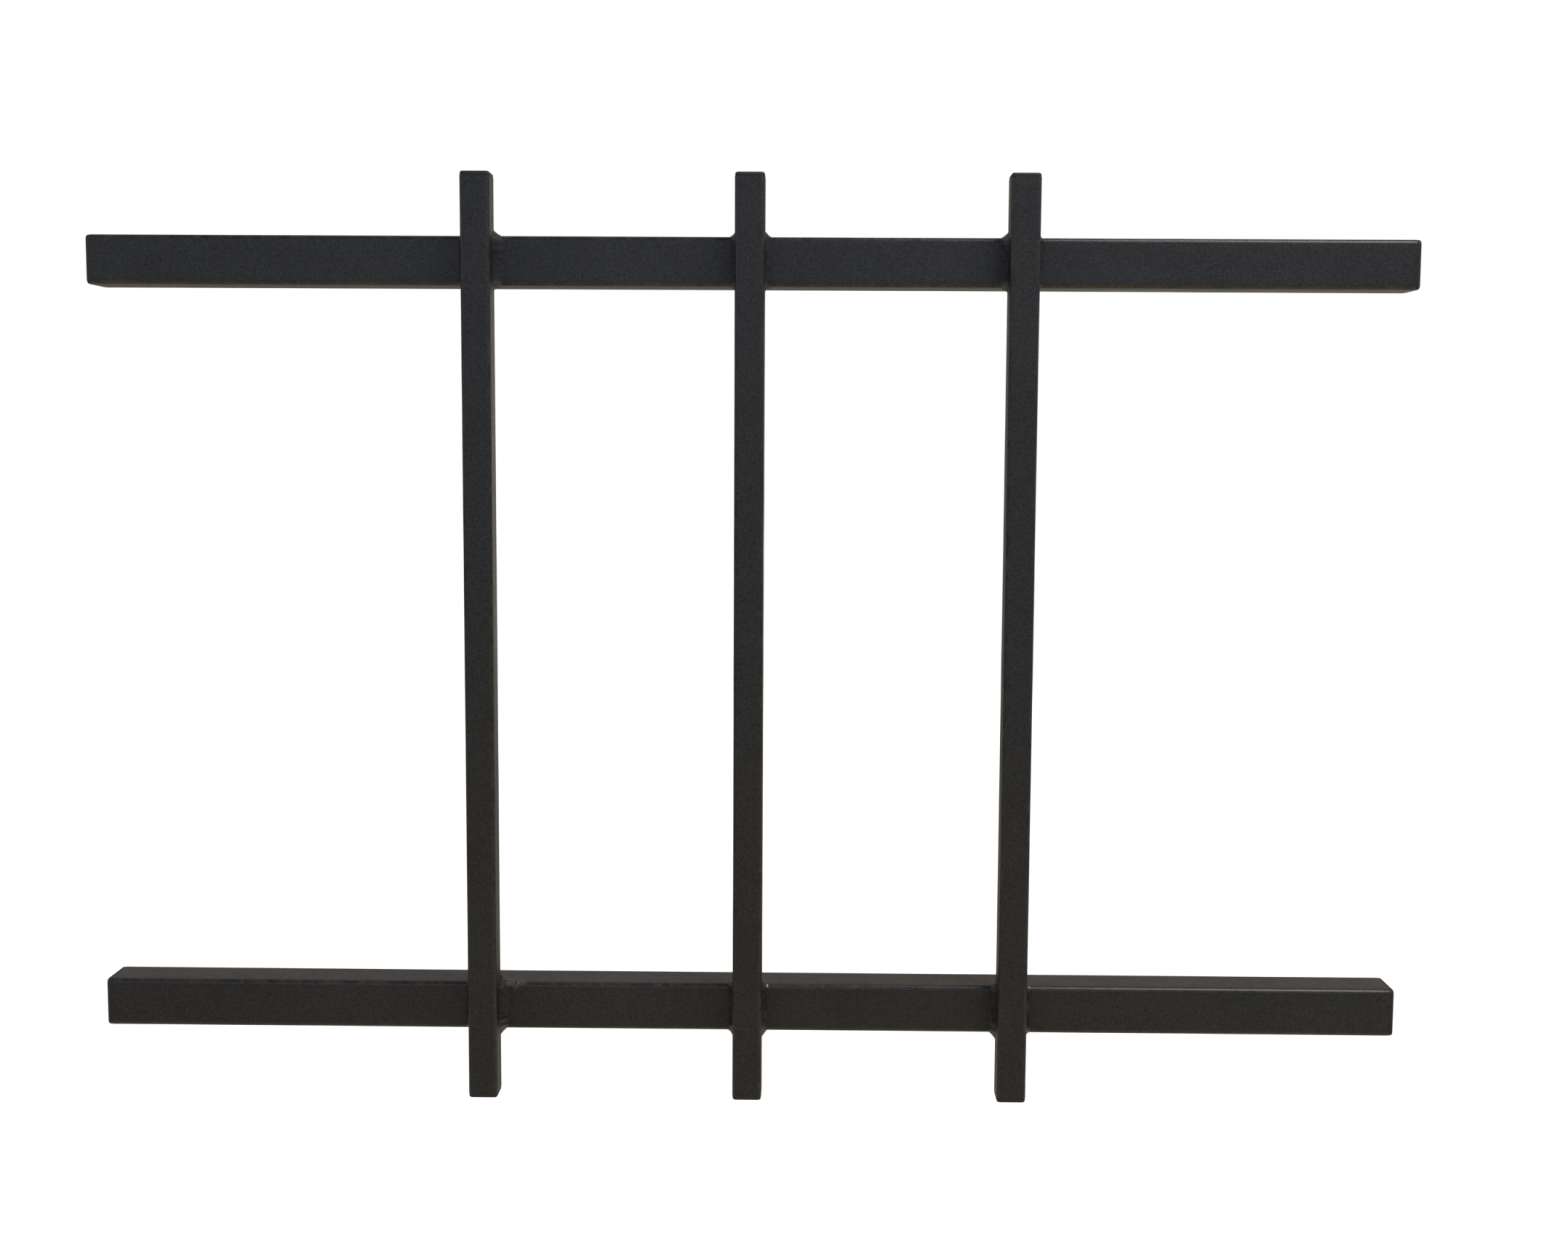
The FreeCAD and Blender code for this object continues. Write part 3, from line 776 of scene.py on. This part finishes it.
def powder_coat(name, shade, deep, pale, roughness, grain_depth, dust_and_sheen):
    """A black powder coat.

    shade, deep and pale are the main, darkest and edge colours, roughness is that of
    the open faces, grain_depth the height of the grain in metres, and the last argument
    how much of a pale warm grey shows on faces that look straight up, partly a dusty
    film and partly a painted sheen.
    """
    material, tree, output = blank_material(name)
    place = add(tree, "ShaderNodeTexCoord").outputs["Object"]
    mottle = add(tree, "ShaderNodeTexNoise", {
        "Vector": place, "Scale": 1 / MOTTLE, "Detail": 3.0, "Roughness": 0.55})
    grain = add(tree, "ShaderNodeTexNoise", {
        "Vector": place, "Scale": 1 / GRAIN, "Detail": 2.0, "Roughness": 0.6})
    peel = add(tree, "ShaderNodeTexNoise", {
        "Vector": place, "Scale": 1 / PEEL, "Detail": 1.0, "Roughness": 0.4})
    scuff = add(tree, "ShaderNodeTexNoise", {
        "Vector": place, "Scale": 1 / SCUFF, "Detail": 5.0, "Roughness": 0.7,
        "Distortion": 1.2})

    tone = add(tree, "ShaderNodeMix", {
        "Factor": add(tree, "ShaderNodeMapRange", {
            "Value": mottle.outputs["Fac"], "From Min": 0.35, "From Max": 0.65}
            ).outputs["Result"],
        "A": linear(deep), "B": linear(shade)}, data_type="RGBA")
    speck = add(tree, "ShaderNodeMapRange", {
        "Value": grain.outputs["Fac"], "From Min": 0.3, "From Max": 0.7,
        "To Min": 0.58, "To Max": 1.46})
    grained = add(tree, "ShaderNodeVectorMath", {
        0: tone.outputs["Result"], "Scale": speck.outputs["Result"]}, operation="SCALE")

    # Edges and crests go paler: partly rubbed coat, partly a painted highlight.
    edge = add(tree, "ShaderNodeAttribute", attribute_name="edge")
    thin_coat_and_highlight = add(tree, "ShaderNodeMath", {
        0: edge.outputs["Fac"], 1: add(tree, "ShaderNodeMapRange", {
            "Value": scuff.outputs["Fac"], "From Min": 0.40, "From Max": 0.62}
            ).outputs["Result"]}, operation="MULTIPLY")
    worn = add(tree, "ShaderNodeMix", {
        "Factor": thin_coat_and_highlight.outputs["Value"], "A": grained.outputs["Vector"],
        "B": linear(pale)}, data_type="RGBA")

    # Faces that look up are mixed towards a pale warm grey: partly a dusty film, partly a
    # painted sheen on the tops.
    facing = add(tree, "ShaderNodeSeparateXYZ", {
        "Vector": add(tree, "ShaderNodeNewGeometry").outputs["True Normal"]})
    up = add(tree, "ShaderNodeMapRange", {
        "Value": facing.outputs["Z"], "From Min": 0.5, "From Max": 1.0,
        "To Min": 0.0, "To Max": dust_and_sheen})
    settled_dust_and_sheen = add(tree, "ShaderNodeMath", {
        0: up.outputs["Result"], 1: mottle.outputs["Fac"]}, operation="MULTIPLY")
    colour = add(tree, "ShaderNodeMix", {
        "Factor": settled_dust_and_sheen.outputs["Value"], "A": worn.outputs["Result"],
        "B": linear(DUST_AND_SHEEN)}, data_type="RGBA")

    uneven = add(tree, "ShaderNodeMapRange", {
        "Value": scuff.outputs["Fac"], "From Min": 0.3, "From Max": 0.7,
        "To Min": roughness - 0.05, "To Max": roughness + 0.05})
    smoother = add(tree, "ShaderNodeMath", {
        0: edge.outputs["Fac"], 1: -0.18, 2: uneven.outputs["Result"]},
        operation="MULTIPLY_ADD")
    open_sky = add(tree, "ShaderNodeMapRange", {
        "Value": grain.outputs["Fac"], "From Min": 0.3, "From Max": 0.7,
        "To Min": 0.30, "To Max": 0.70})

    swell = add(tree, "ShaderNodeBump", {
        "Strength": 1.0, "Distance": 0.012 * MM, "Height": peel.outputs["Fac"]})
    sand = add(tree, "ShaderNodeBump", {
        "Strength": 1.0, "Distance": grain_depth, "Height": grain.outputs["Fac"],
        "Normal": swell.outputs["Normal"]})
    shader = add(tree, "ShaderNodeBsdfPrincipled", {
        "Base Color": colour.outputs["Result"], "Roughness": smoother.outputs["Value"],
        "IOR": 1.5, "Specular IOR Level": open_sky.outputs["Result"],
        "Normal": sand.outputs["Normal"]})
    tree.links.new(shader.outputs["BSDF"], output.inputs["Surface"])
    return material


rail_coat = powder_coat("fine_texture_powder_coat_on_rails", "#232327", "#1d1d21",
                        "#423b35", 0.46, 0.030 * MM, 0.10)
bar_coat = powder_coat("fine_texture_powder_coat_on_bars", "#212124", "#1c1c1f",
                       "#3a3530", 0.48, 0.030 * MM, 0.10)
# The weld coat is painted lighter than the rails' coat, and paler along each bead's crest:
# painted light that lifts the shade the bar casts into the corner.
weld_coat_painted_lighter = powder_coat("powder_coat_over_weld_metal_painted_lighter", "#2b2b2e", "#242427",
                        "#3c3c3f", 0.45, 0.024 * MM, 0.06)
# The lump's coat is paler towards its crest: partly rubbed coat, partly a painted highlight.
lump_coat = powder_coat("powder_coat_over_weld_lump", "#2d2b2b", "#282626",
                        "#6e6963", 0.58, 0.024 * MM, 0.06)
print("powder coats:", [coat.name for coat in (rail_coat, bar_coat, weld_coat_painted_lighter, lump_coat)])

# %% [markdown]
# ## Bare steel
#
# Weld metal is bright under its coat. Where the coat is gone it shows as metal, with a
# film of tarnish in patches that dulls both its colour and its gloss.

# %% Bare steel on the drops
def bare_steel(name):
    """Bright steel with patches of tarnish a fifth of a millimetre across."""
    material, tree, output = blank_material(name)
    place = add(tree, "ShaderNodeTexCoord").outputs["Object"]
    tarnish = add(tree, "ShaderNodeTexNoise", {
        "Vector": place, "Scale": 1 / (0.2 * MM), "Detail": 3.0, "Roughness": 0.6})
    tone = add(tree, "ShaderNodeMix", {
        "Factor": tarnish.outputs["Fac"], "A": linear("#dedbd6"), "B": linear("#a8a39c")},
        data_type="RGBA")
    gloss = add(tree, "ShaderNodeMapRange", {
        "Value": tarnish.outputs["Fac"], "To Min": 0.18, "To Max": 0.36})
    dents = add(tree, "ShaderNodeBump", {
        "Strength": 1.0, "Distance": 0.004 * MM, "Height": tarnish.outputs["Fac"]})
    shader = add(tree, "ShaderNodeBsdfPrincipled", {
        "Base Color": tone.outputs["Result"], "Metallic": 1.0,
        "Roughness": gloss.outputs["Result"], "Normal": dents.outputs["Normal"]})
    tree.links.new(shader.outputs["BSDF"], output.inputs["Surface"])
    return material


drop_steel = bare_steel("bare_weld_steel")
print(drop_steel.name, len(drop_steel.node_tree.nodes), "nodes")

# %% [markdown]
# ## Moulded polyethylene caps
#
# The caps are injection-moulded low-density polyethylene with carbon black. The
# mould's face was spark-eroded, which leaves an even matt grain of about 0.1 mm, and
# the plastic is a touch browner and duller than the coat beside it.

# %% Cap plastic
def cap_plastic(name):
    """Black low-density polyethylene from a spark-eroded mould."""
    material, tree, output = blank_material(name)
    place = add(tree, "ShaderNodeTexCoord").outputs["Object"]
    grain = add(tree, "ShaderNodeTexNoise", {
        "Vector": place, "Scale": 1 / (0.4 * MM), "Detail": 2.0, "Roughness": 0.5})
    flow = add(tree, "ShaderNodeTexNoise", {
        "Vector": place, "Scale": 1 / (6 * MM), "Detail": 2.0, "Distortion": 0.8})
    tone = add(tree, "ShaderNodeMix", {
        "Factor": flow.outputs["Fac"], "A": linear("#1f1e1e"), "B": linear("#2a2928")},
        data_type="RGBA")
    edge = add(tree, "ShaderNodeAttribute", attribute_name="edge")
    worn = add(tree, "ShaderNodeMix", {
        "Factor": add(tree, "ShaderNodeMath", {
            0: edge.outputs["Fac"], 1: 0.25}, operation="MULTIPLY").outputs["Value"],
        "A": tone.outputs["Result"], "B": linear("#464543")}, data_type="RGBA")
    dull = add(tree, "ShaderNodeMapRange", {
        "Value": flow.outputs["Fac"], "To Min": 0.50, "To Max": 0.62})
    bump = add(tree, "ShaderNodeBump", {
        "Strength": 1.0, "Distance": 0.012 * MM, "Height": grain.outputs["Fac"]})
    shader = add(tree, "ShaderNodeBsdfPrincipled", {
        "Base Color": worn.outputs["Result"], "Roughness": dull.outputs["Result"],
        "IOR": 1.51, "Normal": bump.outputs["Normal"]})
    tree.links.new(shader.outputs["BSDF"], output.inputs["Surface"])
    return material


cap_black = cap_plastic("moulded_polyethylene")
print(cap_black.name, len(cap_black.node_tree.nodes), "nodes")

# %% [markdown]
# ## Giving out the finishes
#
# A material could be set inside each function that makes a piece, but one list is easier
# to read: it says at a glance what is coated, what is bare and what is plastic.

# %% Give each piece its finish
finishes = ([(piece, rail_coat) for piece in rails] + [(piece, bar_coat) for piece in bars]
            + [(piece, weld_coat_painted_lighter) for piece in beads + [weld_spatter]]
            + [(weld_lump, lump_coat), (bright_drops, drop_steel)]
            + [(piece, cap_black) for piece in caps])
for piece, finish in finishes:
    piece.data.materials.clear()
    piece.data.materials.append(finish)
print(len(finishes), "pieces finished")

# %% [markdown]
# ## The studio
#
# The grille hangs against a wall in use, so here it simply hangs above a pale floor. A
# satin black coat mirrors a twenty-fifth of whatever faces it, and much more of what it
# is seen along, so a white surround would turn its tops and sides grey. A real studio
# would hang black cloths just out of view. Here the surround and the floor are white to
# the eye and dim as light sources, cool from above and warm from below. The surround is
# brightest behind the grille, low and to the right, like a window beyond it, and the
# left bar's right side mirrors that as a pale strip.

# %% Floor
FLOOR_DROP = 0.45
FLOOR_HALF = 5.0
LIGHT_IN_FRONT = 0.18
LIGHT_BEHIND = 0.40
LIGHT_BEYOND = 0.55
FLOOR_WHITE = 0.90
FLOOR_GLOW = 0.12


def flat_sheet(name, half, height):
    """A level square of the given half width, at a height, facing up."""
    mesh = bpy.data.meshes.new(name)
    outline = [(-half, -half, height), (half, -half, height),
               (half, half, height), (-half, half, height)]
    mesh.from_pydata(outline, [], [(0, 1, 2, 3)])
    piece = bpy.data.objects.new(name, mesh)
    bpy.context.scene.collection.objects.link(piece)
    return piece


def floor_finish():
    """Matt floor paint: it glows white to the eye, and faintly and warmly otherwise."""
    material, tree, output = blank_material("matt_floor_paint")
    seen = add(tree, "ShaderNodeLightPath").outputs["Is Camera Ray"]
    place = add(tree, "ShaderNodeSeparateXYZ", {
        "Vector": add(tree, "ShaderNodeTexCoord").outputs["Object"]})
    behind = add(tree, "ShaderNodeMapRange", {
        "Value": place.outputs["Y"], "From Min": -0.4, "From Max": 0.4})
    tone = add(tree, "ShaderNodeMix", {
        "Factor": behind.outputs["Result"], "A": linear("#ebdcb6"), "B": linear("#f3efe9")},
        data_type="RGBA")
    paint = add(tree, "ShaderNodeBsdfDiffuse", {"Color": tone.outputs["Result"]})
    white = add(tree, "ShaderNodeEmission", {
        "Color": linear("#fffefd"), "Strength": FLOOR_WHITE})
    warm = add(tree, "ShaderNodeEmission", {
        "Color": linear("#fce2a6"), "Strength": FLOOR_GLOW})
    glow = add(tree, "ShaderNodeMixShader", {
        "Fac": seen, 1: warm.outputs["Emission"], 2: white.outputs["Emission"]})
    both = add(tree, "ShaderNodeAddShader", {0: paint.outputs["BSDF"],
                                             1: glow.outputs["Shader"]})
    tree.links.new(both.outputs["Shader"], output.inputs["Surface"])
    return material


floor = flat_sheet("floor", FLOOR_HALF, cad_bounds[0][2] - FLOOR_DROP)
floor.data.materials.append(floor_finish())
print("floor at", round(cad_bounds[0][2] - FLOOR_DROP, 3), "m")

# %% [markdown]
# The surround is the world's own background. It is made of a few maps of the direction
# that a ray takes, so it can glow differently in front, behind, above and below without
# any wall or card that another view could see.

# %% The surround
world = bpy.data.worlds.new("studio")
bpy.context.scene.world = world
world.use_nodes = True
world.node_tree.nodes.clear()
seen = add(world.node_tree, "ShaderNodeLightPath").outputs["Is Camera Ray"]
heading = add(world.node_tree, "ShaderNodeSeparateXYZ", {
    "Vector": add(world.node_tree, "ShaderNodeTexCoord").outputs["Generated"]})
upward = add(world.node_tree, "ShaderNodeMapRange", {
    "Value": heading.outputs["Z"], "From Min": -0.3, "From Max": 0.3})
behind = add(world.node_tree, "ShaderNodeMapRange", {
    "Value": heading.outputs["Y"], "From Min": -0.1, "From Max": 0.6})
in_front = add(world.node_tree, "ShaderNodeMix", {
    "Factor": upward.outputs["Result"], "A": linear("#fbf1da"), "B": linear("#e2ebff")},
    data_type="RGBA")
room = add(world.node_tree, "ShaderNodeMix", {
    "Factor": behind.outputs["Result"], "A": in_front.outputs["Result"],
    "B": linear("#fff3e6")}, data_type="RGBA")
tint = add(world.node_tree, "ShaderNodeMix", {
    "Factor": seen, "A": room.outputs["Result"], "B": (1.0, 1.0, 1.0, 1.0)},
    data_type="RGBA")
dim = add(world.node_tree, "ShaderNodeMapRange", {
    "Value": behind.outputs["Result"], "To Min": LIGHT_IN_FRONT, "To Max": LIGHT_BEHIND})
rightward = add(world.node_tree, "ShaderNodeMapRange", {
    "Value": heading.outputs["X"], "From Min": -0.06, "From Max": 0.14,
    "To Min": 0.0, "To Max": LIGHT_BEYOND})
downward = add(world.node_tree, "ShaderNodeMapRange", {
    "Value": heading.outputs["Z"], "From Min": 0.14, "From Max": 0.0})
window = add(world.node_tree, "ShaderNodeMath", {
    0: rightward.outputs["Result"], 1: downward.outputs["Result"]}, operation="MULTIPLY")
beyond = add(world.node_tree, "ShaderNodeMath", {
    0: window.outputs["Value"], 1: behind.outputs["Result"], 2: dim.outputs["Result"]},
    operation="MULTIPLY_ADD")
glow = add(world.node_tree, "ShaderNodeMath", {
    0: beyond.outputs["Value"], 1: seen}, operation="MAXIMUM")
backdrop = add(world.node_tree, "ShaderNodeBackground", {
    "Color": tint.outputs["Result"], "Strength": glow.outputs["Value"]})
sky = world.node_tree.nodes.new("ShaderNodeOutputWorld")
world.node_tree.links.new(backdrop.outputs["Background"], sky.inputs["Surface"])
print(world.name, len(world.node_tree.nodes), "nodes")

# %% [markdown]
# Four soft boxes do the lighting. A wide, low one in front fills the front faces evenly.
# One on each side lights the corners where the bars cross the rails, which the front
# one can't reach. A small one overhead and to the right is what the rails' upper edges
# mirror, so it draws the bright line along their right halves.

# %% Lamps
def soft_box(name, place, target, width, depth, radiance, colour):
    """A rectangular soft box at a place, aimed at a target.

    radiance is the brightness of its face. A flat lamp spreads its power over its
    area and over pi steradians, so its power is radiance * pi * area.
    """
    lamp = bpy.data.lights.new(name, "AREA")
    lamp.shape = "RECTANGLE"
    lamp.size, lamp.size_y = width, depth
    lamp.energy = radiance * math.pi * width * depth
    lamp.color = linear(colour)[:3]
    holder = bpy.data.objects.new(name, lamp)
    holder.location = place
    holder.rotation_euler = (Vector(target) - Vector(place)).to_track_quat("-Z", "Y").to_euler()
    bpy.context.scene.collection.objects.link(holder)
    print(name, round(lamp.energy, 1), "W")
    return holder


soft_box("front_box", (0.0, -3.0, 0.75), (0.0, 0.0, 0.0), 4.0, 1.3, 0.86, "#d6e7ff")
soft_box("left_box", (-2.0, -0.9, 0.7), (0.0, 0.0, 0.0), 1.4, 1.1, 0.85, "#dde8ff")
soft_box("right_box", (2.0, -0.9, 0.7), (0.0, 0.0, 0.0), 1.4, 1.1, 0.70, "#e9edff")
soft_box("overhead_box", (0.78, -0.75, 1.55), (0.3, 0.0, -0.1), 0.7, 1.2, 6.0, "#fffaf2")

# %% [markdown]
# ## The camera
#
# The camera stands a little to the right of the middle and above it, looking slightly
# down, so the bottom rail shows its top and the top rail shows a sliver underneath.
# Plain colour conversion keeps the white surround white.

# %% Camera
CAMERA_OUT = 0.969
CAMERA_SIDE = 0.0297
CAMERA_HEIGHT = 0.1028
CAMERA_HEADING = (-0.01227, 0.99527, -0.09636)
CAMERA_LEAN = 0.315  # degrees
LENS = 43.8
camera = bpy.data.objects.new("camera", bpy.data.cameras.new("camera"))
camera.data.lens = LENS
camera.data.sensor_width = 36.0
camera.data.clip_start = 0.01
camera.location = (CAMERA_SIDE, RAIL_FACE_Y - CAMERA_OUT, CAMERA_HEIGHT)
looking = Vector(CAMERA_HEADING).to_track_quat("-Z", "Y")
lean = Matrix.Rotation(math.radians(CAMERA_LEAN), 3, "Z")
camera.rotation_euler = (looking.to_matrix() @ lean).to_euler()
bpy.context.scene.collection.objects.link(camera)
bpy.context.scene.camera = camera
bpy.context.scene.view_settings.view_transform = "Standard"
print("camera at", [round(value, 3) for value in camera.location], "lens", LENS, "mm")
